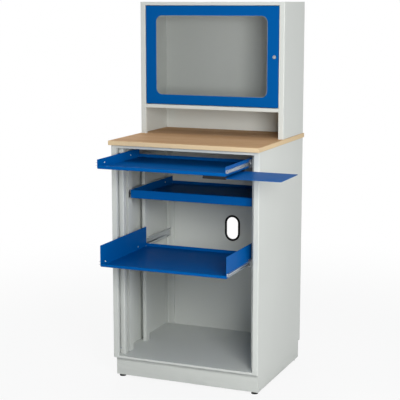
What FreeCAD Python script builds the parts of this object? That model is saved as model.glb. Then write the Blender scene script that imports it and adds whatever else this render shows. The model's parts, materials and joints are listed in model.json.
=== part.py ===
import FreeCAD, Part
import math
import os
from FreeCAD import Vector

# A free-standing steel computer cabinet: a body on a plinth with levelling feet, a wooden
# worktop, a monitor housing with a window door, a keyboard tray with a side plate for the mouse,
# a shallow drawer and a printer shelf, all three on telescopic runners.
# Millimetres. X runs to the right, Y to the back and Z up, from the floor under the middle.

# Overall sizes
body_width = 700.0
body_depth = 600.0
total_height = 1700.0
worktop_height = 1095.0
body_base = 95.0

# Sheet metal of the shells
sheet = 1.5
bend = 2.5
cut_over = 5.0

# Body shell
stile_width = 25.0
stile_return = 18.0
rear_flange = 20.0
stile_relief = 2.0
floor_rise = 10.0
floor_return = 15.0
top_rail_height = 14.0
top_rail_return = 15.0
top_rail_flange = 30.0

# Back panel with its cable slot
back_sheet = 1.2
back_return = 30.0
back_rib_start = 25.0
back_rib_width = 15.0
back_rib_depth = 10.0
slot_width = 58.0
slot_height = 108.0
slot_centre_height = 615.0
trim_web = 2.0
trim_lip = 8.0
trim_lip_thick = 2.5

# Plinth
plinth_sheet = 2.0
plinth_inset_front = 23.0
plinth_inset_side = 5.0
plinth_inset_rear = 11.0
plinth_clear = 10.0
plinth_top_flange = 20.0
plinth_end_flange = 20.0
plinth_foot_flange = 40.0

# Levelling feet
foot_radius = 15.0
foot_pad_thick = 7.0
foot_inset = 22.0
foot_end_inset = 40.0
collar_radius = 9.5
hexagon_sides = 6
spindle_radius = 5.0
spindle_length = 45.0
spindle_clear = 0.2

# Worktop
worktop_thick = 20.0
worktop_side_overhang = 5.0
worktop_front_overhang = 20.0
worktop_rear_overhang = 3.0
worktop_edge_chamfer = 1.5

# Monitor housing
housing_depth = 288.0
rim_width = 25.0
rim_return = 16.0
top_rim_height = 15.5
rim_lip = 22.0
shelf_rise = 137.0
shelf_rail_height = 17.0
shelf_flange = 20.0

# Window door
door_gap_side = 2.5
door_gap_top = 2.0
door_gap_bottom = 2.5
door_recess = 1.0
door_depth = 18.0
door_lip = 8.0
door_edge_radius = 2.5
window_margin_side = 52.0
window_margin_end = 44.0
window_corner_radius = 28.0
pane_thick = 4.0
pane_lap = 12.0
pane_clear = 0.5
retainer_sheet = 1.5
retainer_foot = 10.0
retainer_grip = 10.0

# Door pivots
hinge_inset = 10.0
pin_radius = 3.0
pin_head_radius = 4.5
pin_head_thick = 4.0
pin_reach = 7.0
bush_radius = 4.0
bush_flange_radius = 5.5
bush_length = 5.0
running_clear = 0.05
seat_clear = 0.5
rest_gap = 0.3

# Door lock
lock_lip_gap = 2.5
lock_flange_radius = 8.5
lock_flange_thick = 2.5
lock_flange_bevel = 1.0
lock_barrel_radius = 7.5
core_radius = 5.0
core_proud = 0.5
key_slot_width = 1.6
key_slot_length = 6.0
key_slot_depth = 3.0
cam_thick = 2.5
cam_width = 14.0
cam_reach = 32.0
cam_square = 5.0
cam_post_proud = 1.5
cam_clear = 2.0

# Posts inside the body
post_sheet = 1.5
post_bend = 1.5
post_foot = 26.0
front_post_setback = 32.0
front_post_inset = 19.0
front_post_width = 24.5
front_post_depth = 24.0
runner_plane_inset = 45.0
runner_post_setback = 80.0
rear_post_setback = 255.0
runner_post_width = 16.0
runner_post_depth = 40.0
runner_post_web = 36.0

# Telescopic runners
runner_height = 36.0
runner_thick = 13.0
runner_sheet = 1.2
runner_gap = 0.4
track_lip = 5.0
inner_height = 13.0
middle_follow_share = 0.18
runner_setback = 3.0
runner_hole_length = 9.0
runner_hole_radius = 2.5
runner_hole_place = 16.0

# Pull-out pans
tray_sheet = 1.5
tray_bend = 2.0
tray_lip_return = 9.0
tray_rear_height = 15.0
tray_corner_relief = 8.0
tray_tail = 7.0
closed_setback = 77.0

keyboard_drop = 73.0
keyboard_flange = 40.0
keyboard_lip = 14.5
keyboard_pull = 320.0
keyboard_runner_length = 400.0
keyboard_runner_rise = 20.0

drawer_drop = 176.0
drawer_side = 38.5
drawer_pull = 0.0
drawer_runner_length = 450.0
drawer_runner_rise = 19.0

printer_drop = 253.0
printer_flange = 93.5
printer_lip = 12.5
printer_pull = 304.0
printer_runner_length = 450.0
printer_runner_rise = 15.0

# Mouse plate and its guides under the keyboard tray
mouse_length = 340.0
mouse_depth = 219.0
mouse_thick = 2.0
mouse_reach = 236.0
mouse_setback = 4.5
mouse_drop = 7.0
mouse_corner_radius = 6.0
guide_length = 100.0
guide_width = 15.0
guide_sole = 3.0
guide_clear = 0.3

# Places worked out from the sizes above
side_x = body_width / 2
front_y = -body_depth / 2
rear_y = body_depth / 2
body_top = worktop_height - worktop_thick
floor_z = body_base + floor_rise
inner_x = side_x - sheet
flat_x = inner_x - bend
stile_x = side_x - stile_width
housing_front_y = rear_y - housing_depth
rim_x = side_x - rim_width
roof_z = total_height - sheet
back_y = rear_y - sheet
plinth_x = side_x - plinth_inset_side
plinth_front_y = front_y + plinth_inset_front
plinth_rear_y = rear_y - plinth_inset_rear
foot_x = plinth_x - foot_inset
foot_y = rear_y - foot_end_inset
runner_x = side_x - runner_plane_inset
tray_x = runner_x - runner_thick
runner_mouth = runner_thick - runner_sheet - 3 * runner_gap
inner_flange = runner_thick - 2 * runner_sheet - 3 * runner_gap
closed_y = front_y + closed_setback
runner_y = closed_y + runner_setback
post_top = body_top - top_rail_height
opening_top_z = total_height - top_rim_height
shelf_z = worktop_height + shelf_rise
keyboard_base = body_top - keyboard_drop
drawer_base = keyboard_base - drawer_drop
printer_base = drawer_base - printer_drop


def in_plan(u, v):
    return Vector(u, v, 0)


def in_front_view(u, v):
    return Vector(u, 0, v)


def in_side_view(u, v):
    return Vector(0, u, v)


def rounded_corner(before, here, after, radius):
    """Start, middle and end of the arc that rounds one corner."""
    back = (before - here).normalize()
    ahead = (after - here).normalize()
    half = back.getAngle(ahead) / 2
    reach = radius / math.tan(half)
    middle = (back + ahead).normalize() * (radius / math.sin(half) - radius)
    return here + back * reach, here + middle, here + ahead * reach


def rounded_face(corners, view):
    """A flat face from (u, v, radius) corners, with an arc wherever the radius isn't zero."""
    points = [view(u, v) for u, v, radius in corners]
    starts, edges, ends = [], [], []
    for i, (u, v, radius) in enumerate(corners):
        here = points[i]
        if radius == 0:
            starts.append(here)
            ends.append(here)
            continue
        arc = rounded_corner(points[i - 1], here, points[(i + 1) % len(points)], radius)
        edges.append(Part.Arc(*arc).toShape())
        starts.append(arc[0])
        ends.append(arc[2])
    for i, end in enumerate(ends):
        start = starts[(i + 1) % len(starts)]
        if (start - end).Length > Part.Precision.confusion():
            edges.append(Part.LineSegment(end, start).toShape())
    return Part.Face(Part.Wire(Part.__sortEdges__(edges)))


def folded(path, thick, view, start, length):
    """A folded sheet: its section follows the path on one skin, with the metal to the left.

    A path point is (u, v) for a sharp fold, or (u, v, radius) for a fold with that inner radius.
    """
    places = [point[:2] for point in path]
    steps = [Vector(b[0] - a[0], b[1] - a[1], 0).normalize() for a, b in zip(places, places[1:])]
    normals = [Vector(-step.y, step.x, 0) for step in steps]
    normals = [normals[0], *normals, normals[-1]]
    skin, under = [], []
    for i, (u, v) in enumerate(places):
        before, after = normals[i], normals[i + 1]
        mitre = (before + after) * (thick / (1 + before.dot(after)))
        radii = (0, 0)
        if len(path[i]) > len(places[i]):
            inner = path[i][-1]
            left_turn = before.cross(after).z > 0
            radii = (inner + thick, inner) if left_turn else (inner, inner + thick)
        skin.append((u, v, radii[0]))
        under.append((u + mitre.x, v + mitre.y, radii[1]))
    return prism(skin + under[::-1], view, start, length)


def prism(corners, view, start, length):
    """A rounded outline drawn out along the axis square to its view."""
    along = view(1, 0).cross(view(0, 1))
    along = along * math.copysign(1, sum(along))
    shape = rounded_face(corners, view).extrude(along * length)
    shape.translate(along * start)
    return shape


def block(x0, x1, y0, y1, z0, z1):
    return Part.makeBox(x1 - x0, y1 - y0, z1 - z0, Vector(x0, y0, z0))


def rod(radius, start, end):
    axis = end - start
    return Part.makeCylinder(radius, axis.Length, start, axis)


def rectangle(u0, u1, v0, v1, radius=0):
    return [(u0, v0, radius), (u1, v0, radius), (u1, v1, radius), (u0, v1, radius)]


def hexagon(u, v, radius):
    """The outline of a spanner hexagon with the given radius to its corners."""
    angles = [side * math.tau / hexagon_sides for side in range(hexagon_sides)]
    return [(u + radius * math.cos(angle), v + radius * math.sin(angle), 0) for angle in angles]


def mirrored(shape):
    return shape.mirror(Vector(0, 0, 0), Vector(1, 0, 0))


def save(name, *solids):
    shape = solids[0] if len(solids) == 1 else Part.makeCompound(list(solids))
    shape.exportStep(f"parts/{name}.step")


def save_pair(name, left):
    save(f"{name}_left", left)
    save(f"{name}_right", mirrored(left))


# Plinth: two side channels that carry the feet, closed by a front and a rear channel
def plinth_side():
    path = [
        (-plinth_x + plinth_top_flange, body_base),
        (-plinth_x, body_base),
        (-plinth_x, plinth_clear),
        (-plinth_x + plinth_foot_flange, plinth_clear),
    ]
    start = plinth_front_y + plinth_sheet
    shape = folded(path, plinth_sheet, in_front_view, start, plinth_rear_y - plinth_sheet - start)
    for y in (-foot_y, foot_y):
        axis = Vector(-foot_x, y, plinth_clear)
        reach = Vector(0, 0, plinth_sheet + cut_over)
        shape = shape.cut(rod(spindle_radius + spindle_clear, axis - reach, axis + reach))
    return shape


def plinth_end(face_y, inward):
    """A cross channel between the side channels, with its face drawn out to the corners."""
    half = plinth_x - plinth_foot_flange
    flange_y = face_y + inward * plinth_end_flange
    path = [(flange_y, body_base), (face_y, body_base), (face_y, plinth_clear), (flange_y, plinth_clear)]
    if inward < 0:
        path.reverse()
    channel = folded(path, plinth_sheet, in_side_view, -half, 2 * half)
    y0, y1 = sorted((face_y, face_y + inward * plinth_sheet))
    wings = [
        block(-plinth_x, -half, y0, y1, plinth_clear, body_base),
        block(half, plinth_x, y0, y1, plinth_clear, body_base),
    ]
    return channel.multiFuse(wings).removeSplitter()


def levelling_foot(x, y):
    pad = rod(foot_radius, Vector(x, y, 0), Vector(x, y, foot_pad_thick))
    collar = prism(hexagon(x, y, collar_radius), in_plan, foot_pad_thick, plinth_clear - foot_pad_thick)
    spindle = rod(spindle_radius, Vector(x, y, plinth_clear), Vector(x, y, plinth_clear + spindle_length))
    return pad.multiFuse([collar, spindle]).removeSplitter()


save_pair("plinth", plinth_side())
save("plinth_front", plinth_end(plinth_front_y, 1))
save("plinth_rear", plinth_end(plinth_rear_y, -1))
save("levelling_feet", *[levelling_foot(x, y) for x in (-foot_x, foot_x) for y in (-foot_y, foot_y)])


# Shell sides: one folded sheet with a rounded front edge, a face strip and a return
def shell_side(face_y, face_width, face_return, z0, z1):
    path = [
        (-side_x + rear_flange, rear_y),
        (-side_x, rear_y, bend),
        (-side_x, face_y, bend),
        (-side_x + face_width, face_y, 0),
        (-side_x + face_width, face_y + face_return),
    ]
    return folded(path, sheet, in_plan, z0, z1 - z0)


save_pair("body_side", shell_side(front_y, stile_width, stile_return, body_base, body_top))
save_pair("housing_side", shell_side(housing_front_y, rim_width, rim_return, worktop_height, roof_z))


# Body floor: a shallow pan whose front edge fills the opening between the stiles
def body_floor():
    rear = back_y - back_sheet - back_rib_depth
    path = [
        (rear - floor_return, body_base),
        (rear, body_base),
        (rear, floor_z),
        (front_y, floor_z, 0),
        (front_y, body_base),
        (front_y + floor_return, body_base),
    ]
    middle = folded(path, sheet, in_side_view, -stile_x, 2 * stile_x)
    start = front_y + stile_return + stile_relief
    corner = back_y - back_return
    wing = block(-inner_x, -stile_x, start, corner, floor_z - sheet, floor_z)
    tail = block(-inner_x + back_sheet, -stile_x, corner, rear, floor_z - sheet, floor_z)
    return middle.multiFuse([wing, tail, mirrored(wing), mirrored(tail)]).removeSplitter()


save("body_floor", body_floor())

# Top rails under the worktop
front_rail = [
    (front_y + top_rail_flange, body_top),
    (front_y, body_top),
    (front_y, post_top, 0),
    (front_y + top_rail_return, post_top),
]
rear_rail = [
    (back_y - top_rail_return, post_top),
    (back_y, post_top),
    (back_y, body_top),
    (back_y - top_rail_flange, body_top),
]
save("top_rail_front", folded(front_rail, sheet, in_side_view, -stile_x, 2 * stile_x))
save("top_rail_rear", folded(rear_rail, sheet, in_side_view, -flat_x, 2 * flat_x))


# Back panel: edge returns along the sides, two upright ribs and an upright cable slot
def stadium(width, height, y0, y1):
    half_width, half_height = width / 2, height / 2
    bottom, top = slot_centre_height - half_height, slot_centre_height + half_height
    corners = rectangle(-half_width, half_width, bottom, top, half_width)
    return prism(corners, in_front_view, y0, y1 - y0)


def body_back():
    edge = inner_x
    rib_outer = side_x - back_rib_start
    rib_inner = rib_outer - back_rib_width
    skin_y = back_y
    rib_y = back_y - back_rib_depth
    right = [
        (rib_inner, skin_y),
        (rib_inner, rib_y),
        (rib_outer, rib_y),
        (rib_outer, skin_y),
        (edge, skin_y, bend),
        (edge, skin_y - back_return),
    ]
    left = [(-x, *rest) for x, *rest in right[::-1]]
    path = (left + right)[::-1]
    shape = folded(path, back_sheet, in_plan, body_base, post_top - body_base)
    hole = stadium(slot_width + 2 * trim_web, slot_height + 2 * trim_web, rib_y, rear_y + cut_over)
    return shape.cut(hole)


def cable_slot_trim():
    """An edging pressed in from inside: a lip round the slot and a web through the panel."""
    seat_y = back_y - back_sheet
    lip_y = seat_y - trim_lip_thick
    web_width, web_height = slot_width + 2 * trim_web, slot_height + 2 * trim_web
    lip = stadium(web_width + 2 * trim_lip, web_height + 2 * trim_lip, lip_y, seat_y)
    web = stadium(web_width, web_height, seat_y, back_y)
    return lip.fuse(web).cut(stadium(slot_width, slot_height, lip_y - cut_over, back_y + cut_over))


save("body_back", body_back())
save("cable_slot_trim", cable_slot_trim())

# Posts inside the body, each a folded profile screwed flat to the side
front_post_y = front_y + front_post_setback


def front_post():
    x0 = -side_x + front_post_inset
    x1 = x0 + front_post_width
    y1 = front_post_y + front_post_depth
    path = [
        (-inner_x, y1 + post_foot),
        (-inner_x, y1),
        (x0, y1),
        (x0, front_post_y, post_bend),
        (x1, front_post_y, post_bend),
        (x1, y1),
    ]
    return folded(path, post_sheet, in_plan, floor_z, post_top - floor_z)


def runner_post(setback):
    """A stepped post whose inner web is the plane that the runners are fixed to."""
    y0 = front_y + setback
    x0 = -runner_x - runner_post_width
    path = [
        (-inner_x, y0 + runner_post_depth + post_foot),
        (-inner_x, y0 + runner_post_depth),
        (x0, y0 + runner_post_depth),
        (x0, y0),
        (-runner_x, y0),
        (-runner_x, y0 + runner_post_web),
    ]
    return folded(path, post_sheet, in_plan, floor_z, post_top - floor_z)


save_pair("front_post", front_post())
save_pair("runner_post_front", runner_post(runner_post_setback))
save_pair("runner_post_rear", runner_post(rear_post_setback))


# Worktop
def worktop():
    x = side_x + worktop_side_overhang
    y0, y1 = front_y - worktop_front_overhang, rear_y + worktop_rear_overhang
    shape = block(-x, x, y0, y1, body_top, worktop_height)
    return shape.makeChamfer(worktop_edge_chamfer, shape.Edges)


save("worktop", worktop())


# Monitor housing: roof, back and shelf between the two sides
def flanged_deck(deck_z, rear, rail_bottom):
    """A deck with a front rail turned down between the rims and a lip turned back under it."""
    path = [
        (rear, deck_z),
        (housing_front_y, deck_z, bend),
        (housing_front_y, rail_bottom, 0),
        (housing_front_y + rim_lip, rail_bottom),
    ]
    return folded(path, sheet, in_side_view, -rim_x, 2 * rim_x)


def housing_top():
    deck = flanged_deck(total_height, rear_y, opening_top_z)
    corner = bend + sheet
    outline = [
        (-side_x, rear_y, 0),
        (-side_x, housing_front_y, corner),
        (-rim_x, housing_front_y, 0),
        (-rim_x, rear_y, 0),
    ]
    wing = prism(outline, in_plan, roof_z, sheet)
    shape = deck.multiFuse([wing, mirrored(wing)]).removeSplitter()
    return shape.cut(pin_hole(opening_top_z))


def housing_shelf():
    rear = back_y - sheet
    deck = flanged_deck(shelf_z, rear, shelf_z - shelf_rail_height)
    start = housing_front_y + rim_return + stile_relief
    end = rear - bend
    wing = block(-inner_x, -rim_x, start, end, shelf_z - sheet, shelf_z)
    flange = block(-inner_x, -inner_x + sheet, start, end, shelf_z - shelf_flange, shelf_z)
    wings = [wing, flange, mirrored(wing), mirrored(flange)]
    shape = deck.multiFuse(wings).removeSplitter()
    return shape.cut(pin_hole(shelf_z))


def housing_back():
    return block(-flat_x, flat_x, back_y - sheet, back_y, worktop_height, roof_z)


# Window door and its pivots
door_x0 = -rim_x + door_gap_side
door_x1 = rim_x - door_gap_side
door_z0 = shelf_z + door_gap_bottom
door_z1 = opening_top_z - door_gap_top
door_y = housing_front_y + door_recess
hinge_x = door_x0 + hinge_inset
hinge_y = housing_front_y + sheet + bend + pin_head_radius
window_x0 = door_x0 + window_margin_side
window_x1 = door_x1 - window_margin_side
window_z0 = door_z0 + window_margin_end
window_z1 = door_z1 - window_margin_end
pane_y = door_y + sheet
lock_x = door_x1 - sheet - door_lip - lock_lip_gap - lock_barrel_radius
lock_z = (door_z0 + door_z1) / 2


def hinge_point(z):
    return Vector(hinge_x, hinge_y, z)


def pin_hole(z):
    reach = sheet + pin_head_thick
    return rod(pin_radius + seat_clear, hinge_point(z - reach), hinge_point(z + reach))


def hinge_pin(seat_z, door_face_z):
    """A hexagon-headed pin: the head lies behind the sheet, the shank enters the door."""
    way = math.copysign(1, door_face_z - seat_z)
    head_z = seat_z - way * sheet
    head_base = min(head_z, head_z - way * pin_head_thick)
    head = prism(hexagon(hinge_x, hinge_y, pin_head_radius), in_plan, head_base, pin_head_thick)
    return head.fuse(rod(pin_radius, hinge_point(head_z), hinge_point(door_face_z + way * pin_reach)))


def hinge_bush(seat_z, door_face_z):
    """A flanged bush in the door's edge that turns on the pin and spaces the door off."""
    way = math.copysign(1, door_face_z - seat_z)
    flange = rod(bush_flange_radius, hinge_point(seat_z + way * rest_gap), hinge_point(door_face_z))
    sleeve = rod(bush_radius, hinge_point(door_face_z), hinge_point(door_face_z + way * bush_length))
    bore_end = hinge_point(door_face_z + way * (pin_reach + cut_over))
    bore = rod(pin_radius + running_clear, hinge_point(seat_z), bore_end)
    return flange.fuse(sleeve).cut(bore)


def door_frame():
    """A steel pan with rounded front edges, a rolled-in rear lip, the window and the lock hole."""
    rear = door_y + door_depth
    radius = door_edge_radius
    plan = [(door_x0, rear, 0), (door_x0, door_y, radius), (door_x1, door_y, radius), (door_x1, rear, 0)]
    profile = [(rear, door_z0, 0), (door_y, door_z0, radius), (door_y, door_z1, radius), (rear, door_z1, 0)]
    shape = prism(plan, in_plan, door_z0, door_z1 - door_z0)
    shape = shape.common(prism(profile, in_side_view, door_x0, door_x1 - door_x0))
    wall_x0, wall_x1 = door_x0 + sheet, door_x1 - sheet
    hollow = block(wall_x0, wall_x1, pane_y, rear - sheet, door_z0 + sheet, door_z1 - sheet)
    lip = sheet + door_lip
    mouth = block(door_x0 + lip, door_x1 - lip, pane_y, rear + cut_over, door_z0 + lip, door_z1 - lip)
    window = rectangle(window_x0, window_x1, window_z0, window_z1, window_corner_radius)
    cuts = [hollow, mouth, prism(window, in_front_view, door_y - cut_over, door_depth)]
    lock_axis = Vector(lock_x, door_y - cut_over, lock_z)
    lock_end = lock_axis + Vector(0, sheet + 2 * cut_over, 0)
    cuts.append(rod(lock_barrel_radius + seat_clear, lock_axis, lock_end))
    for face_z, inner_z in ((door_z0, door_z0 + sheet), (door_z1, door_z1 - sheet)):
        over = inner_z - face_z
        cuts.append(rod(bush_radius + seat_clear, hinge_point(face_z - over), hinge_point(inner_z + over)))
    return shape.cut(cuts)


def window_pane():
    x0, x1 = window_x0 - pane_lap, window_x1 + pane_lap
    return block(x0, x1, pane_y, pane_y + pane_thick, window_z0 - pane_lap, window_z1 + pane_lap)


def pane_retainer_path(edge, outward):
    """A Z-shaped strip: a grip on the pane, a riser beside its edge and a foot on the door."""
    riser = edge + outward * pane_clear
    grip = edge - outward * retainer_grip
    grip_y = pane_y + pane_thick
    path = [
        (grip, grip_y),
        (riser, grip_y),
        (riser, pane_y),
        (riser + outward * retainer_foot, pane_y),
    ]
    return path


def pane_retainers():
    strips = []
    for edge, outward in ((window_x0 - pane_lap, -1), (window_x1 + pane_lap, 1)):
        path = pane_retainer_path(edge, outward)
        path = path if outward > 0 else path[::-1]
        strips.append(
            folded(path, retainer_sheet, in_plan, window_z0, window_z1 - window_z0)
        )
    for edge, outward in ((window_z0 - pane_lap, -1), (window_z1 + pane_lap, 1)):
        path = [(y, z) for z, y in pane_retainer_path(edge, outward)]
        path = path if outward < 0 else path[::-1]
        strips.append(
            folded(path, retainer_sheet, in_side_view, window_x0, window_x1 - window_x0)
        )
    return strips


save("housing_top", housing_top())
save("housing_shelf", housing_shelf())
save("housing_back", housing_back())
save("door_frame", door_frame())
save("window_pane", window_pane())
save("pane_retainers", *pane_retainers())
pivots = ((shelf_z, door_z0), (opening_top_z, door_z1))
save("hinge_pins", *[hinge_pin(*pivot) for pivot in pivots])
save("hinge_bushes", *[hinge_bush(*pivot) for pivot in pivots])

# Door lock: a barrel through the frame, a turning core with a key slot, and a cam behind
cam_y = door_y + door_depth + cam_clear


def lock_point(y):
    return Vector(lock_x, y, lock_z)


def lock_body():
    flange = rod(lock_flange_radius, lock_point(door_y - lock_flange_thick), lock_point(door_y))
    bevel_y = door_y - lock_flange_bevel
    front_rim = [edge for edge in flange.Edges if edge.Closed and edge.CenterOfMass.y < bevel_y]
    flange = flange.makeChamfer(lock_flange_bevel, front_rim)
    barrel = rod(lock_barrel_radius, lock_point(door_y), lock_point(cam_y - rest_gap))
    bore = rod(core_radius + running_clear, lock_point(door_y - cut_over), lock_point(cam_y + cut_over))
    return flange.fuse(barrel).cut(bore)


def lock_square(half, y0, y1):
    """The square on the core's end that drives the cam, or the cam's hole for it."""
    return block(lock_x - half, lock_x + half, y0, y1, lock_z - half, lock_z + half)


def lock_core():
    face_y = door_y - lock_flange_thick - core_proud
    plug = rod(core_radius, lock_point(face_y), lock_point(cam_y))
    post = lock_square(cam_square / 2, cam_y, cam_y + cam_thick + cam_post_proud)
    slot = block(
        lock_x - key_slot_width / 2,
        lock_x + key_slot_width / 2,
        face_y - cut_over,
        face_y + key_slot_depth,
        lock_z - key_slot_length / 2,
        lock_z + key_slot_length / 2,
    )
    return plug.fuse(post).cut(slot)


def lock_cam():
    half = cam_width / 2
    corners = [
        (lock_x - half, lock_z - cam_reach, half / 2),
        (lock_x + half, lock_z - cam_reach, half / 2),
        (lock_x + half, lock_z + half, half - running_clear),
        (lock_x - half, lock_z + half, half - running_clear),
    ]
    plate = prism(corners, in_front_view, cam_y, cam_thick)
    return plate.cut(lock_square(cam_square / 2 + running_clear, cam_y - cut_over, cam_y + cut_over))


save("lock_body", lock_body())
save("lock_core", lock_core())
save("lock_cam", lock_cam())


# Telescopic runners: an outer channel on the posts, a middle track and an inner channel on the pan
def runner_members(centre_z, length, pull):
    """The three members of a left runner, drawn out by the pull of its pan."""
    wall = -runner_x
    mouth = wall + runner_mouth
    half = runner_height / 2
    outer_path = [
        (mouth, centre_z + half),
        (wall, centre_z + half),
        (wall, centre_z - half),
        (mouth, centre_z - half),
    ]
    outer = folded(outer_path, runner_sheet, in_front_view, runner_y, length)
    track = wall + runner_sheet + runner_gap
    track_half = half - runner_sheet - runner_gap
    lip_half = inner_height / 2 + runner_gap
    upper = [
        (mouth - track_lip, centre_z + lip_half),
        (mouth, centre_z + lip_half),
        (mouth, centre_z + track_half),
        (track, centre_z + track_half),
    ]
    lower = [(x, 2 * centre_z - z) for x, z in upper[::-1]]
    middle_y = runner_y - pull * middle_follow_share
    middle = folded(upper + lower, runner_sheet, in_front_view, middle_y, length)
    web = -tray_x
    inner_half = inner_height / 2
    inner_path = [
        (web - inner_flange, centre_z - inner_half),
        (web, centre_z - inner_half),
        (web, centre_z + inner_half),
        (web - inner_flange, centre_z + inner_half),
    ]
    inner = folded(inner_path, runner_sheet, in_front_view, runner_y - pull, length)
    return outer, middle, inner.cut(runner_hole(web, runner_y - pull + runner_hole_place, centre_z))


def runner_hole(web, y, z):
    """The oblong hole near the front end of an inner member."""
    half = runner_hole_length / 2
    radius = runner_hole_radius
    corners = rectangle(y - half, y + half, z - radius, z + radius, radius)
    return prism(corners, in_side_view, web - runner_sheet - running_clear, runner_sheet + 2 * running_clear)


def pan(base, flange, lip, depth, pull):
    """A folded pan: two side flanges, a rounded front lip with a return and a rear upstand."""
    y0 = closed_y - pull
    y1 = y0 + depth
    floor_y0 = y0 + tray_corner_relief
    floor_y1 = y1 - tray_corner_relief
    inside = tray_x - tray_sheet
    trough = [
        (-tray_x, base + flange),
        (-tray_x, base, tray_bend),
        (tray_x, base, tray_bend),
        (tray_x, base + flange),
    ]
    front = [
        (y0 + tray_lip_return, base + lip),
        (y0, base + lip, tray_bend),
        (y0, base, tray_bend),
        (floor_y0, base),
    ]
    rear = [(floor_y1, base), (y1, base, tray_bend), (y1, base + tray_rear_height)]
    shape = folded(trough, tray_sheet, in_front_view, floor_y0, floor_y1 - floor_y0)
    pieces = [
        folded(front, tray_sheet, in_side_view, -inside, 2 * inside),
        folded(rear, tray_sheet, in_side_view, -inside, 2 * inside),
    ]
    corner = tray_sheet + tray_bend
    for start, end in ((y0, floor_y0), (floor_y1, y1)):
        ear = block(-tray_x, -inside, start, end, base + corner, base + flange)
        pieces += [ear, mirrored(ear)]
    return shape.multiFuse(pieces).removeSplitter()


def pull_out(name, pan_name, base, flange, lip, pull, runner_length, runner_rise):
    """One pan with the pair of runners that carries it."""
    members = runner_members(base + runner_rise, runner_length, pull)
    for member, left in zip(("outer", "middle", "inner"), members):
        save_pair(f"{name}_runner_{member}", left)
    save(pan_name, pan(base, flange, lip, runner_setback + runner_length + tray_tail, pull))


pull_out(
    "keyboard",
    "keyboard_tray",
    keyboard_base,
    keyboard_flange,
    keyboard_lip,
    keyboard_pull,
    keyboard_runner_length,
    keyboard_runner_rise,
)
pull_out(
    "drawer",
    "drawer",
    drawer_base,
    drawer_side,
    drawer_side,
    drawer_pull,
    drawer_runner_length,
    drawer_runner_rise,
)
pull_out(
    "printer",
    "printer_shelf",
    printer_base,
    printer_flange,
    printer_lip,
    printer_pull,
    printer_runner_length,
    printer_runner_rise,
)


# Mouse plate: it slides out sideways in two grooved guides under the keyboard tray
mouse_x1 = tray_x + mouse_reach
mouse_x0 = mouse_x1 - mouse_length
mouse_y0 = closed_y - keyboard_pull + mouse_setback
mouse_y1 = mouse_y0 + mouse_depth
mouse_top_z = keyboard_base - mouse_drop
mouse_z = mouse_top_z - mouse_thick


def mouse_plate():
    corners = [
        (mouse_x0, mouse_y0, 0),
        (mouse_x1, mouse_y0, mouse_corner_radius),
        (mouse_x1, mouse_y1, mouse_corner_radius),
        (mouse_x0, mouse_y1, 0),
    ]
    return prism(corners, in_plan, mouse_z, mouse_thick)


def mouse_guide(edge_y, inward):
    """A grooved rail that holds one long edge of the mouse plate."""
    groove_y = edge_y - inward * guide_clear
    back_face = groove_y - inward * guide_sole
    lip_face = back_face + inward * guide_width
    x0 = tray_x - guide_length
    y0, y1 = sorted((back_face, lip_face))
    rail = block(x0, tray_x, y0, y1, mouse_z - guide_clear - guide_sole, keyboard_base)
    g0, g1 = sorted((groove_y, lip_face + inward * cut_over))
    groove = block(x0 - cut_over, tray_x + cut_over, g0, g1, mouse_z - guide_clear, mouse_top_z + guide_clear)
    return rail.cut(groove)


save("mouse_plate", mouse_plate())
save("mouse_guides", mouse_guide(mouse_y0, 1), mouse_guide(mouse_y1, -1))
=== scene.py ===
# %% [markdown]
# # Dressing a steel computer cabinet
# The cabinet is folded sheet steel: a grey body on a plinth, a beech worktop, a monitor housing with
# a blue window door, and three blue pans on telescopic runners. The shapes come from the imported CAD
# model. This lesson gives them their finishes, adds the small fasteners that CAD leaves out, and
# sets up a plain studio with a camera at the photograph's angle.

import json
from math import cos, pi, radians, sin

import bpy
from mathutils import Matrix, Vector


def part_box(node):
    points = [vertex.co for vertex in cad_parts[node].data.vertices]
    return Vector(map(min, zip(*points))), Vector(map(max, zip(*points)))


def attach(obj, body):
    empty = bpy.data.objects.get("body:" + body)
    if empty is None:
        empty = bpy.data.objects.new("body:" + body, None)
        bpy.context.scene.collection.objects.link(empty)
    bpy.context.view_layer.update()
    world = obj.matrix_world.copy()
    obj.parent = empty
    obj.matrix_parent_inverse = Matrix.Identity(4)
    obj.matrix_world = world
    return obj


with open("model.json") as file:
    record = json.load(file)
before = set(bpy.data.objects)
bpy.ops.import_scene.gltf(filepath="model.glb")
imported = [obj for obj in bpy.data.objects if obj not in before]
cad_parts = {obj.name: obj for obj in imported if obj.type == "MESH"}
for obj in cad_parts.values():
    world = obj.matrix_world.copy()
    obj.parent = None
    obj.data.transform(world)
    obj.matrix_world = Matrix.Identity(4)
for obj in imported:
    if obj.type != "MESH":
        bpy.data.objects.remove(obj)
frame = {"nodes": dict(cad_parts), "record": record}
nodes = frame["nodes"]
scene = bpy.context.scene
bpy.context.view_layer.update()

# %% [markdown]
# ## Writing graphs as arithmetic
# Finishes, repeated pieces and the world are all graphs of nodes, and a graph is easier to read as a
# formula. A `Wire` is one output socket. Adding or multiplying wires makes the Math nodes, and the
# reflected forms let a plain number stand first, as in `1 - mask`. Every other node comes from
# `Graph.node`, which sets the node's settings before it fills its sockets, because a setting can
# change which sockets exist.


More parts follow.
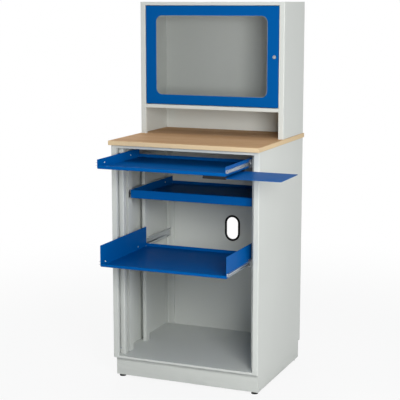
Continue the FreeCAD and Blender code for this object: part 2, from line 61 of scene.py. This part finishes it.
# %% A wire
class Wire:
    """One output socket, on which Python's operators make Math nodes."""

    def __init__(self, graph, socket):
        self.graph = graph
        self.socket = socket

    def maths(self, operation, *values):
        return self.graph.node("ShaderNodeMath", {"operation": operation}, dict(enumerate(values)))

    def __add__(self, other):
        return self.maths("ADD", self, other)

    def __sub__(self, other):
        return self.maths("SUBTRACT", self, other)

    def __rsub__(self, other):
        return self.maths("SUBTRACT", other, self)

    def __mul__(self, other):
        return self.maths("MULTIPLY", self, other)

    def __truediv__(self, other):
        return self.maths("DIVIDE", self, other)

    def __rtruediv__(self, other):
        return self.maths("DIVIDE", other, self)

    def __abs__(self):
        return self.maths("ABSOLUTE", self)

    __radd__ = __add__
    __rmul__ = __mul__

    def between(self, low, high):
        """0 at low and below, 1 at high and above, smooth in between."""
        settings = {"interpolation_type": "SMOOTHSTEP"}
        sockets = {"Value": self, "From Min": low, "From Max": high}
        return self.graph.node("ShaderNodeMapRange", settings, sockets)


# %% A graph
class Graph:
    """A node tree, to which one method adds every kind of node."""

    def __init__(self, tree):
        self.tree = tree
        self.tree.nodes.clear()

    def node(self, kind, settings=None, sockets=None, out=0):
        """Add a node and return one of its outputs, where it has any."""
        made = self.tree.nodes.new(kind)
        for key, value in (settings or {}).items():
            setattr(made, key, value)
        for key, value in (sockets or {}).items():
            self.fill(made.inputs[key], value)
        return Wire(self, made.outputs[out]) if len(made.outputs) else None

    def fill(self, socket, value):
        """Give a socket a wire, a list of wires or a plain value."""
        if isinstance(value, Wire):
            self.tree.links.new(value.socket, socket)
        elif isinstance(value, list):
            for wire in value:
                self.fill(socket, wire)
        else:
            socket.default_value = value


# %% [markdown]
# ## Finishes
# A finish is the graph of a material. Its patterns read Object coordinates, so they are written in
# metres and stay on a piece when it moves. A rate is a count per metre: 400 means a pattern of about
# 2.5 mm. The Mix node holds sockets for every type of data, so its colours are picked by number.

# %% A finish
mix_factor, mix_first, mix_second, mix_result = 0, 6, 7, 2


class Finish(Graph):
    """The graph of a material for one kind of surface."""

    def __init__(self, name):
        self.material = bpy.data.materials.new(name)
        self.material.use_nodes = True
        super().__init__(self.material.node_tree)

    def place(self):
        """Where a point is on the object, in metres."""
        return self.node("ShaderNodeTexCoord", out="Object")

    def axis(self, vector, name):
        return self.node("ShaderNodeSeparateXYZ", None, {"Vector": vector}, name)

    def noise(self, rate, detail=2.0, where=None):
        sockets = {"Vector": where or self.place(), "Scale": rate, "Detail": detail}
        return self.node("ShaderNodeTexNoise", None, sockets)

    def streaks(self, rates, detail=3.0):
        """Noise that is drawn out, with a rate for each direction."""
        where = self.node("ShaderNodeMapping", None, {"Vector": self.place(), "Scale": rates})
        return self.noise(1.0, detail, where)

    def mix(self, factor, first, second):
        sockets = {mix_factor: factor, mix_first: first, mix_second: second}
        return self.node("ShaderNodeMix", {"data_type": "RGBA"}, sockets, mix_result)

    def bump(self, height, strength, depth):
        sockets = {"Height": height, "Strength": strength, "Distance": depth}
        return self.node("ShaderNodeBump", None, sockets)

    def surface(self, shader):
        self.node("ShaderNodeOutputMaterial", None, {"Surface": shader})
        print("finish:", self.material.name, "with", len(self.tree.nodes), "nodes")
        return self.material

    def shade(self, sockets):
        return self.surface(self.node("ShaderNodeBsdfPrincipled", None, sockets))


# %% Colours
def srgb(red, green, blue):
    """A colour read from a picture, as the linear values that a shader takes."""
    linear = []
    for level in (red, green, blue):
        part = level / 255
        linear.append(part / 12.92 if part <= 0.04045 else ((part + 0.055) / 1.055) ** 2.4)
    return (*linear, 1.0)


def tinted(colour, factor):
    return (*(level * factor for level in colour[:3]), 1.0)


print("a picture's middle grey is", round(srgb(128, 128, 128)[0], 3), "in linear light")

# %% [markdown]
# ## Powder coat
# The grey and blue panels are powder coated: the baked powder flows into a skin with a faint orange
# peel about two millimetres across, and it is never quite even over a large sheet. Paint with one
# flat colour would look like plastic film. So a wide, weak cloud moves the tone by a few percent,
# and two noises give the peel its height and its uneven gloss. Towards the floor the coat is darker:
# an even painted shade, with streaks of scuffs from shoes and mops on the plinth.

# %% Powder coat values
cloud_rate = 2.3
tone_swing = 0.045
peel_rate = 420.0
grain_rate = 1900.0
peel_share = 0.75
peel_strength = 0.10
peel_depth = 0.0006
peel_gloss_swing = 0.12
kick_height = 0.085
scuff_rates = (9.0, 9.0, 42.0)
scuff_edges = (0.45, 0.8)
even_painted_shade_share = 0.25
shade_and_scuff_cover_share = 0.35
shade_and_scuff_tone_share = 0.55
scuff_and_shade_roughness = 0.2
print(f"orange peel of {1000 / peel_rate:.1f} mm, dirt up to {1000 * kick_height:.0f} mm")


# %% Powder coat finishes
def powder_coat(name, colour, roughness, specular):
    coat = Finish(name)
    cloud = coat.noise(cloud_rate, detail=3.0)
    peel = coat.noise(peel_rate)
    grain = coat.noise(grain_rate, detail=1.0)
    tone = coat.mix(cloud, tinted(colour, 1 - tone_swing), tinted(colour, 1 + tone_swing))
    # Darker towards the floor: an even painted shade, with scuffs streaked over it.
    near_floor = 1 - coat.axis(coat.place(), "Z").between(0.0, kick_height)
    scuffs = coat.streaks(scuff_rates, detail=4.0).between(*scuff_edges)
    painted_shade_and_scuffs = near_floor * (even_painted_shade_share + (1 - even_painted_shade_share) * scuffs)
    tone = coat.mix(painted_shade_and_scuffs * shade_and_scuff_cover_share, tone, tinted(colour, shade_and_scuff_tone_share))
    rough = roughness + (peel - 0.5) * peel_gloss_swing + painted_shade_and_scuffs * scuff_and_shade_roughness
    skin = coat.bump(peel * peel_share + grain * (1 - peel_share), peel_strength, peel_depth)
    sockets = {"Base Color": tone, "Roughness": rough, "Normal": skin, "Specular IOR Level": specular}
    return coat.shade(sockets)


grey_coat = powder_coat("grey_powder_coat", srgb(205, 208, 203), roughness=0.42, specular=0.4)
blue_coat = powder_coat("blue_powder_coat", srgb(0, 84, 154), roughness=0.42, specular=0.04)

# %% [markdown]
# ## Beech
# The worktop is a beech board with its grain along the front. Beech has no bold figure: wide pale
# and pinkish bands, fine fibres, and short dark flecks a few millimetres long. Each is the same
# noise, drawn out by a different amount along X. The edges show the plies of the board, so a
# pattern in Z takes over where the surface does not face up or down. The colours of the edges are
# painted lighter than the top's, so the darker top is painted shade.

# %% Beech values
band_rates = (0.7, 15.0, 15.0)
band_edges = (0.3, 0.7)
fibre_rates = (14.0, 480.0, 480.0)
fibre_edges = (0.35, 0.75)
fibre_share = 0.55
fleck_rates = (190.0, 1500.0, 1500.0)
fleck_edges = (0.60, 0.72)
fleck_share = 0.5
edge_fleck_share = 0.4
layer_thick = 0.0018
layer_edges = (0.35, 0.65)
flat_edges = (0.6, 0.9)
oil_roughness = 0.5
fibre_roughness = 0.14
edge_roughness = 0.05
oil_specular = 0.06
fibre_height_share = 0.6
pore_strength = 0.12
pore_depth = 0.0003
print(f"flecks of {1000 / fleck_rates[0]:.1f} mm, layers of {1000 * layer_thick:.1f} mm")

# %% Beech from above
beech = Finish("oiled_beech")
bands = beech.streaks(band_rates)
fibres = beech.streaks(fibre_rates)
flecks = beech.streaks(fleck_rates, detail=1.0).between(*fleck_edges)
wood = beech.mix(bands.between(*band_edges), srgb(208, 171, 131), srgb(190, 149, 108))
wood = beech.mix(fibres.between(*fibre_edges) * fibre_share, wood, srgb(168, 127, 88))
wood = beech.mix(flecks * fleck_share, wood, srgb(150, 108, 72))
print("bands, fibres and flecks:", len(beech.tree.nodes), "nodes")

# %% Beech at the edges
level = beech.axis(beech.place(), "Z") / layer_thick
layer = level.maths("PINGPONG", level, 1.0).between(*layer_edges)
# The plies are painted lighter than the top, so the darker top is painted shade.
painted_lit_layers = beech.mix(layer, srgb(230, 206, 167), srgb(216, 190, 150))
painted_lit_layers = beech.mix(flecks * edge_fleck_share, painted_lit_layers, srgb(176, 136, 94))
facing = beech.node("ShaderNodeNewGeometry", out="Normal")
painted_lit_edge = 1 - abs(beech.axis(facing, "Z")).between(*flat_edges)
wood = beech.mix(painted_lit_edge, wood, painted_lit_layers)
oiled = oil_roughness + fibres * fibre_roughness + painted_lit_edge * edge_roughness
relief = fibres * fibre_height_share - flecks * (1 - fibre_height_share)
pores = beech.bump(relief, pore_strength, pore_depth)
sockets = {"Base Color": wood, "Roughness": oiled, "Normal": pores, "Specular IOR Level": oil_specular}
beech_board = beech.shade(sockets)

# %% [markdown]
# ## Zinc, nickel and steel
# The runners are rolled from zinc-plated strip, so fine streaks run along their length, which is Y.
# A metal shows its surface through its reflections, so the streaks go into the roughness more than
# into the colour. The lock is plated and polished, the hinge pins are plain turned steel.

# %% Metal values
rolled_share = 0.6
patch_rate = 38.0
patch_roughness = 0.06
line_strength = 0.08
line_depth = 0.0002
print(f"rolling marks of {1000 * line_depth:.1f} mm, patches of {1000 / patch_rate:.0f} mm")


# %% Metal finishes
def bare_metal(name, pale, dark, rates, roughness, spread):
    metal = Finish(name)
    rolled = metal.streaks(rates)
    patches = metal.noise(patch_rate, detail=3.0)
    tone = metal.mix(rolled * rolled_share + patches * (1 - rolled_share), dark, pale)
    rough = roughness + rolled * spread + patches * patch_roughness
    lines = metal.bump(rolled, line_strength, line_depth)
    return metal.shade({"Base Color": tone, "Metallic": 1.0, "Roughness": rough, "Normal": lines})


zinc = bare_metal(
    "zinc_strip",
    pale=srgb(222, 225, 227),
    dark=srgb(188, 192, 197),
    rates=(900.0, 12.0, 900.0),
    roughness=0.24,
    spread=0.2,
)
pin_steel = bare_metal(
    "turned_steel",
    pale=srgb(205, 205, 203),
    dark=srgb(170, 170, 170),
    rates=(300.0, 300.0, 1800.0),
    roughness=0.26,
    spread=0.16,
)
nickel = bare_metal(
    "polished_nickel",
    pale=srgb(176, 180, 184),
    dark=srgb(142, 147, 153),
    rates=(60.0, 60.0, 60.0),
    roughness=0.16,
    spread=0.1,
)

# %% [markdown]
# ## Rubber and plastic
# The edging of the cable slot is soft black rubber, matt and a little dusty, and the seal of the
# window is a pale grey one. The feet, the mouse plate's guides and the hinge bushes are moulded black
# plastic with an eroded texture, which catches more light. One helper makes all three, from a fine
# noise for the texture and a wide one for dust and handling.

# %% Moulded values
wipe_rate = 30.0
dust_edges = (0.35, 0.8)
dust_share = 0.6
wipe_gloss_swing = 0.14
texture_strength = 0.25
moulded_specular = 0.25
print(f"wiping marks of {1000 / wipe_rate:.0f} mm")


# %% Moulded finishes
def moulded(name, colour, dusty, texture_rate, roughness, depth):
    mould = Finish(name)
    texture = mould.noise(texture_rate)
    wipe = mould.noise(wipe_rate, detail=3.0)
    tone = mould.mix(wipe.between(*dust_edges) * dust_share, colour, dusty)
    sheen = roughness + (wipe - 0.5) * wipe_gloss_swing
    skin = mould.bump(texture, texture_strength, depth)
    sockets = {"Base Color": tone, "Roughness": sheen, "Normal": skin}
    return mould.shade({**sockets, "Specular IOR Level": moulded_specular})


black_rubber = moulded(
    "edging_rubber",
    srgb(9, 9, 10),
    dusty=srgb(24, 23, 23),
    texture_rate=900.0,
    roughness=0.68,
    depth=0.0003,
)
black_plastic = moulded(
    "moulded_plastic",
    srgb(19, 19, 20),
    dusty=srgb(34, 34, 35),
    texture_rate=1400.0,
    roughness=0.48,
    depth=0.0002,
)
seal_grey = moulded(
    "glazing_seal",
    srgb(150, 156, 160),
    dusty=srgb(128, 133, 137),
    texture_rate=900.0,
    roughness=0.55,
    depth=0.0002,
)

# %% [markdown]
# ## The clear pane
# The window is clear acrylic. A full glass shader would block the lamps and leave the housing dark,
# so the pane is mostly let through by its alpha. What is left is the gloss, which grows as the pane
# is seen at a flatter angle. A Layer Weight node gives that growth, and faint wiping marks change
# the roughness.

# %% Pane finish
glance_blend = 0.28
face_on_alpha = 0.09
glancing_alpha = 0.5
wipe_rates = (7.0, 7.0, 2.0)
wipe_edges = (0.4, 0.8)
polished_roughness = 0.04
wiped_roughness = 0.06
acrylic_ior = 1.49
pane = Finish("clear_acrylic")
glance = pane.node("ShaderNodeLayerWeight", None, {"Blend": glance_blend}, "Fresnel")
wiped = pane.streaks(wipe_rates).between(*wipe_edges)
clear = face_on_alpha + glance * glancing_alpha
smooth = polished_roughness + wiped * wiped_roughness
sockets = {"Base Color": srgb(66, 72, 74), "Alpha": clear, "Roughness": smooth, "IOR": acrylic_ior}
clear_pane = pane.shade(sockets)

# %% [markdown]
# ## Putting the finishes on
# The record names a material slot for every CAD node. Going through that list, and not through a
# list of names, makes sure that no node is missed.

# %% Assign the finishes
finishes = {
    "grey_coat": grey_coat,
    "blue_coat": blue_coat,
    "zinc_plate": zinc,
    "pin_steel": pin_steel,
    "beech": beech_board,
    "black_rubber": black_rubber,
    "black_plastic": black_plastic,
    "clear_pane": clear_pane,
    "bright_lock": nickel,
}
subparts = frame["record"]["subparts"]
for subpart in subparts:
    for holder in nodes[subpart["node"]].material_slots:
        holder.material = finishes[subpart["material_slot"]]
print(len(subparts), "nodes have their finish")

# %% [markdown]
# ## Pan-head screws
# Cross-recess pan heads hold the pans to the runners, the pane's strips to the door, the posts to
# the body and the back panels to the sides. Modelling each one would repeat the same mesh by hand.
# Here a Geometry Nodes graph makes one head, a cone with a cross cut out of it, and puts a copy on
# every vertex of a small guide mesh, turned to the direction that the vertex carries in its `facing`
# attribute. The result is turned into one plain mesh for each body, so that it can ride on that body.


# %% A graph that works on a guide
class Recipe(Graph):
    """A Geometry Nodes graph that makes pieces from a guide mesh, with named sizes and a finish."""

    def __init__(self, name, sizes):
        super().__init__(bpy.data.node_groups.new(name, "GeometryNodeTree"))
        self.sockets = self.tree.interface
        self.sockets.new_socket("Geometry", in_out="OUTPUT", socket_type="NodeSocketGeometry")
        kinds = {"Guide": "NodeSocketGeometry"}
        kinds.update({size: "NodeSocketFloat" for size in sizes})
        kinds["Finish"] = "NodeSocketMaterial"
        for label, kind in kinds.items():
            self.sockets.new_socket(label, in_out="INPUT", socket_type=kind)

    def given(self, name):
        return self.node("NodeGroupInput", out=name)

    def end_with(self, geometry):
        """Real meshes with the finish on them, because the export drops instances."""
        real = self.node("GeometryNodeRealizeInstances", None, {"Geometry": geometry})
        sockets = {"Geometry": real, "Material": self.given("Finish")}
        coated = self.node("GeometryNodeSetMaterial", None, sockets)
        self.node("NodeGroupOutput", None, {"Geometry": coated})
        print("recipe:", self.tree.name, "takes", ", ".join(self.identifiers()))

    def identifiers(self):
        """The identifier of each named input, which is what a modifier goes by."""
        inputs = (item for item in self.sockets.items_tree if item.in_out == "INPUT")
        return {item.name: item.identifier for item in inputs}


# %% One screw head
head_sides = 20
crown_share = 0.72
arm_share = 1.1
heads = Recipe("screw_heads", ("Radius", "Height", "Recess"))
head_radius = heads.given("Radius")
head_height = heads.given("Height")
recess_width = heads.given("Recess")


def cross_bar(wide, across):
    """One bar of the cross, as a box that is sunk halfway into the head."""
    size = heads.node("ShaderNodeCombineXYZ", None, {"X": wide, "Y": across, "Z": head_height})
    bar = heads.node("GeometryNodeMeshCube", None, {"Size": size})
    lift = heads.node("ShaderNodeCombineXYZ", None, {"Z": head_height})
    return heads.node("GeometryNodeTransform", None, {"Geometry": bar, "Translation": lift})


ends = {"Radius Bottom": head_radius, "Radius Top": head_radius * crown_share}
cone = heads.node("GeometryNodeMeshCone", None, {"Vertices": head_sides, "Depth": head_height, **ends})
arm = head_radius * arm_share
cross = [cross_bar(arm, recess_width), cross_bar(recess_width, arm)]
cutting = {"operation": "DIFFERENCE"}
head = heads.node("GeometryNodeMeshBoolean", cutting, {"Mesh 1": cone, "Mesh 2": cross})
print("one screw head:", len(heads.tree.nodes), "nodes")

# %% A head on every point of the guide
vectors = {"data_type": "FLOAT_VECTOR"}
direction = heads.node("GeometryNodeInputNamedAttribute", vectors, {"Name": "facing"})
turn = heads.node("FunctionNodeAlignRotationToVector", {"axis": "Z"}, {"Vector": direction})
sockets = {"Points": heads.given("Guide"), "Instance": head, "Rotation": turn}
heads.end_with(heads.node("GeometryNodeInstanceOnPoints", None, sockets))


# %% Running a recipe over a guide
def added(name, data):
    """A new object of the scene, at the origin."""
    made = bpy.data.objects.new(name, data)
    scene.collection.objects.link(made)
    return made


def plain_mesh(name, recipe, guide, values):
    """The recipe's result on a guide mesh, as an object with no modifier."""
    holder = added(name + "_guide", guide)
    modifier = holder.modifiers.new("recipe", "NODES")
    modifier.node_group = recipe.tree
    for key, value in values.items():
        modifier[recipe.identifiers()[key]] = value
    seen = holder.evaluated_get(bpy.context.evaluated_depsgraph_get())
    mesh = bpy.data.meshes.new_from_object(seen)
    bpy.data.objects.remove(holder)
    bpy.data.meshes.remove(guide)
    return added(name, mesh)


# %% Setting screws
recess_share = 0.2


def guide_points(name, places):
    """A mesh of single vertices, each with the direction that its screw faces."""
    guide = bpy.data.meshes.new(name + "_points")
    guide.from_pydata([place for place, facing in places], [], [])
    attribute = guide.attributes.new("facing", "FLOAT_VECTOR", "POINT")
    attribute.data.foreach_set("vector", [part for place, facing in places for part in facing])
    return guide


def set_screws(name, body, places, radius, height):
    values = {"Radius": radius, "Height": height, "Recess": radius * recess_share, "Finish": zinc}
    piece = plain_mesh(name, heads, guide_points(name, places), values)
    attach(piece, body)
    print(f"{name}: {len(places)} screws, {len(piece.data.polygons)} faces on {body}")


# %% [markdown]
# ## Where the screws go
# Their places follow from the CAD nodes. A pan's flange is screwed to its inner runner at the
# runner's mid height, near both ends of the flange. Each strip that holds the pane has two screws in
# the foot that lies on the door's back. A front post is screwed at its foot and its head. The back
# panels are screwed through the flanges that the sides turn in at the rear.

# %% Screws of the pans
sheet_thick = 0.0015
pan_screw = {"radius": 0.0042, "height": 0.0022}
front_insets = {"keyboard_tray": 0.066, "drawer": 0.046, "printer_shelf": 0.046}
rear_inset = 0.090


def pan_screw_places(pan, front_inset):
    runner = pan.split("_")[0] + "_runner_inner_right"
    pan_low, pan_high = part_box(pan)
    run_low, run_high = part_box(runner)
    middle = (run_low.z + run_high.z) / 2
    wall = pan_high.x - sheet_thick
    ends = (pan_low.y + front_inset, pan_high.y - rear_inset)
    return [((side * wall, y, middle), (-side, 0, 0)) for side in (-1, 1) for y in ends]


for pan, front_inset in front_insets.items():
    set_screws(pan + "_screws", pan, pan_screw_places(pan, front_inset), **pan_screw)

# %% Screws of the pane's retainers
retainer_screw = {"radius": 0.0030, "height": 0.0016}
retainer_foot = 0.010
end_share = 0.16


def retainer_screw_places():
    """Two screws in each strip, on the middle line of its foot."""
    low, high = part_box("pane_retainers")
    window_low, window_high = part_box("window_pane")
    face = window_low.y + sheet_thick
    span = window_high - window_low
    places = []
    for share in (end_share, 1 - end_share):
        for x in (low.x + retainer_foot / 2, high.x - retainer_foot / 2):
            places.append(((x, face, window_low.z + span.z * share), (0, 1, 0)))
        for z in (low.z + retainer_foot / 2, high.z - retainer_foot / 2):
            places.append(((window_low.x + span.x * share, face, z), (0, 1, 0)))
    return places


set_screws("retainer_screws", "monitor_door", retainer_screw_places(), **retainer_screw)

# %% Screws of the body and housing
case_screw = {"radius": 0.0048, "height": 0.0024}
post_end = 0.026
flange_half = 0.010


def post_screw_places(post):
    low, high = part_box(post)
    centre = (low.x + high.x) / 2
    return [((centre, low.y, z), (0, -1, 0)) for z in (low.z + post_end, high.z - post_end)]


def rear_screw_places(side, rows, end):
    low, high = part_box(side)
    x = high.x - flange_half if high.x > 0 else low.x + flange_half
    step = (high.z - low.z - 2 * end) / (rows - 1)
    return [((x, high.y, low.z + end + row * step), (0, 1, 0)) for row in range(rows)]


case_places = []
for hand in ("left", "right"):
    case_places += post_screw_places("front_post_" + hand)
    case_places += rear_screw_places("body_side_" + hand, rows=4, end=0.072)
    case_places += rear_screw_places("housing_side_" + hand, rows=3, end=0.06)
set_screws("case_screws", "cabinet", case_places, **case_screw)

# %% [markdown]
# ## The window's seal
# A pane in a sheet-metal door sits on a slim grey seal that follows the window's rounded outline,
# so the metal edge does not rattle on the plastic. It follows a path, so a second recipe takes the
# outline, a rounded rectangle, as its guide and sweeps a small square section along it.

# %% A recipe that sweeps a seal
seals = Recipe("swept_seal", ("Width", "Depth"))
path = seals.node("GeometryNodeMeshToCurve", None, {"Mesh": seals.given("Guide")})
sockets = {"Width": seals.given("Width"), "Height": seals.given("Depth")}
section = seals.node("GeometryNodeCurvePrimitiveQuadrilateral", None, sockets)
sockets = {"Curve": path, "Profile Curve": section}
seals.end_with(seals.node("GeometryNodeCurveToMesh", None, sockets))

# %% The window's outline
arc_steps = 8


def rounded_outline(low, high, y, radius):
    """Points of a rectangle with round corners, in a plane that faces the front."""
    left, right = low.x + radius, high.x - radius
    bottom, top = low.z + radius, high.z - radius
    centres = ((right, top), (left, top), (left, bottom), (right, bottom))
    points = []
    for quarter, (x, z) in enumerate(centres):
        for step in range(arc_steps + 1):
            angle = pi / 2 * (quarter + step / arc_steps)
            points.append((x + radius * cos(angle), y, z + radius * sin(angle)))
    return points


# %% The seal in the door's window
frame_sides = 0.052
frame_ends = 0.044
window_round = 0.028
seal_width = 0.0016
seal_gap = 0.0001
door_low, door_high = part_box("door_frame")
pane_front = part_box("window_pane")[0].y
seal_depth = pane_front - door_low.y - 2 * seal_gap
inset = seal_width / 2 + seal_gap
margin = Vector((frame_sides + inset, 0, frame_ends + inset))
seal_y = pane_front - seal_gap - seal_depth / 2
outline = rounded_outline(door_low + margin, door_high - margin, seal_y, window_round - inset)
loop = [(at, (at + 1) % len(outline)) for at in range(len(outline))]
seal_guide = bpy.data.meshes.new("window_outline")
seal_guide.from_pydata(outline, loop, [])
values = {"Width": seal_width, "Depth": seal_depth, "Finish": seal_grey}
window_seal = plain_mesh("window_seal", seals, seal_guide, values)
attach(window_seal, "monitor_door")
print(f"window_seal: {len(outline)} points, {len(window_seal.data.polygons)} faces")

# %% [markdown]
# ## The studio
# A product picture on white needs three things: a floor that is almost white but keeps the shadow
# under the plinth, a world that looks white to the camera and to reflections while it gives only a
# moderate light, and large soft lamps. The main lamp stands at the front right, at the height of the
# door, so that the pans that reach out are the brightest and the right part of the back lies in the
# shade of the side wall, as in the photograph. The other lamps are weak and keep the sides, the top
# and the back readable.


# %% Rays that see the studio
def seen_rays(graph):
    """1 for rays of the camera, off metal and through glass, and 0 for the light on the object."""
    kinds = ("Is Camera Ray", "Is Glossy Ray", "Is Transmission Ray")
    camera_ray, glossy, through = (graph.node("ShaderNodeLightPath", out=kind) for kind in kinds)
    settings = {"operation": "ADD", "use_clamp": True}
    return graph.node("ShaderNodeMath", settings, {0: camera_ray, 1: glossy + through})


# %% Floor
white = (1.0, 1.0, 1.0, 1.0)
paper_grey = (0.6, 0.6, 0.6, 1.0)
near_white_share = 0.88
shadow_reach = (1.0, 3.2)
floor_half = 30.0
corners = [(x * floor_half, y * floor_half, 0) for x, y in ((-1, -1), (1, -1), (1, 1), (-1, 1))]
floor_mesh = bpy.data.meshes.new("studio_floor")
floor_mesh.from_pydata(corners, [], [(0, 1, 2, 3)])
floor = added("studio_floor", floor_mesh)
paper = Finish("studio_paper")
matt = paper.node("ShaderNodeBsdfDiffuse", None, {"Color": paper_grey})
glow = paper.node("ShaderNodeEmission", None, {"Color": white, "Strength": 1.0})
reach = paper.node("ShaderNodeVectorMath", {"operation": "LENGTH"}, {0: paper.place()}, "Value")
white_share = near_white_share + (1 - near_white_share) * reach.between(*shadow_reach)
sockets = {0: seen_rays(paper) * white_share, 1: matt, 2: glow}
floor_mesh.materials.append(paper.surface(paper.node("ShaderNodeMixShader", None, sockets)))
print("floor is", 2 * floor_half, "m wide")

# %% World
fill_colour = (0.93, 0.96, 1.0, 1.0)
fill_strength = 0.36
world = bpy.data.worlds.new("studio_world")
world.use_nodes = True
scene.world = world
sky = Graph(world.node_tree)
fill = sky.node("ShaderNodeBackground", None, {"Color": fill_colour, "Strength": fill_strength})
backdrop = sky.node("ShaderNodeBackground", None, {"Color": white, "Strength": 1.0})
choice = sky.node("ShaderNodeMixShader", None, {0: seen_rays(sky), 1: fill, 2: backdrop})
sky.node("ShaderNodeOutputWorld", None, {"Surface": choice})
print("world fill", fill_strength)

# %% Lamps
cabinet_middle = Vector((0.0, 0.0, 0.9))


def softbox(name, place, size, watts, mirrored=False):
    """A square lamp that looks at the cabinet. A fill lamp is not mirrored in glossy faces."""
    lamp = bpy.data.lights.new(name, "AREA")
    lamp.shape = "SQUARE"
    lamp.size = size
    lamp.energy = watts
    holder = added(name, lamp)
    holder.location = place
    holder.rotation_euler = (cabinet_middle - Vector(place)).to_track_quat("-Z", "Y").to_euler()
    holder.visible_camera = False
    holder.visible_glossy = mirrored
    print(f"{name}: {watts} W at {place}")


softbox("main_softbox", (1.7, -2.4, 1.5), size=1.0, watts=64, mirrored=True)
softbox("top_softbox", (0.4, -0.8, 4.6), size=2.4, watts=34)
softbox("right_softbox", (4.8, -1.0, 1.1), size=2.4, watts=24)
softbox("left_softbox", (-4.8, 0.4, 2.2), size=2.4, watts=70)
softbox("rear_softbox", (-2.4, 5.0, 2.4), size=2.4, watts=110)

# %% [markdown]
# ## The camera
# The place and focal length come from fitting the cabinet's edges to the photograph. That was taken
# with a level camera and a shifted lens, which keeps every vertical upright. A shift stays with the
# camera in every other view and would push the cabinet out of the frame there, so this camera looks
# down a little instead. From so far away that moves the edges by only a few pixels.

# %% Camera
image_pixels = 400
focal_pixels = 1143.9
sensor_width = 36.0
degrees_down = 9.83
degrees_round = 22.75
camera = bpy.data.cameras.new("photo_camera")
camera.sensor_width = sensor_width
camera.lens = focal_pixels / image_pixels * sensor_width
camera.clip_end = 200.0
viewer = added("photo_camera", camera)
viewer.location = (1.9658, -4.7999, 1.6997)
viewer.rotation_euler = (radians(90 - degrees_down), 0.0, radians(degrees_round))
scene.camera = viewer
scene.view_settings.view_transform = "Standard"
print(f"lens {camera.lens:.1f} mm")
